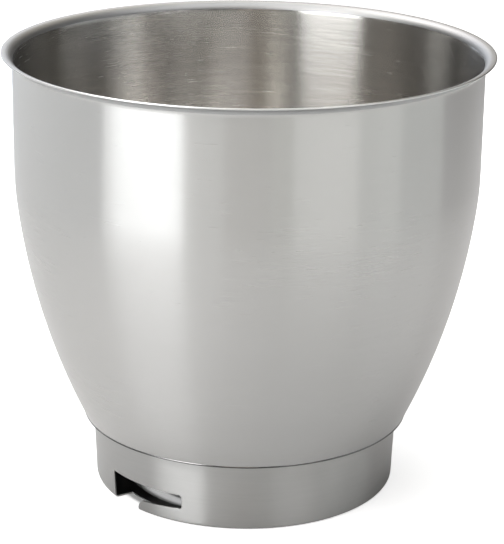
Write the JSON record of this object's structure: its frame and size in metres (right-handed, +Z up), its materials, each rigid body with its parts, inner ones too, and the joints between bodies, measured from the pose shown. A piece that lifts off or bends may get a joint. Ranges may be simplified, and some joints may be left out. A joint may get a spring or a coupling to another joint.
{
  "type": "stand mixer bowl",
  "caption": "Tall satin stainless steel mixing bowl with a flared lip, on a pressed foot ring with L-shaped bayonet slots for twist-locking onto a mixer base",
  "frame": {"origin": "on the bowl's axis, on the plane that the foot ring stands on", "axes": "+Z up out of the bowl's mouth; -Y is the front that the picture shows, so that one bayonet slot is at the front left (-X, -Y) and the other opposite it"},
  "size_m": [0.2206, 0.2206, 0.2035],
  "materials": {
    "bowl_steel": "satin, brushed round the bowl",
    "ring_steel": "satin"
  },
  "bodies": {
    "root": {"bowl": "bowl_steel", "foot_ring": "ring_steel"}
  },
  "joints": []
}
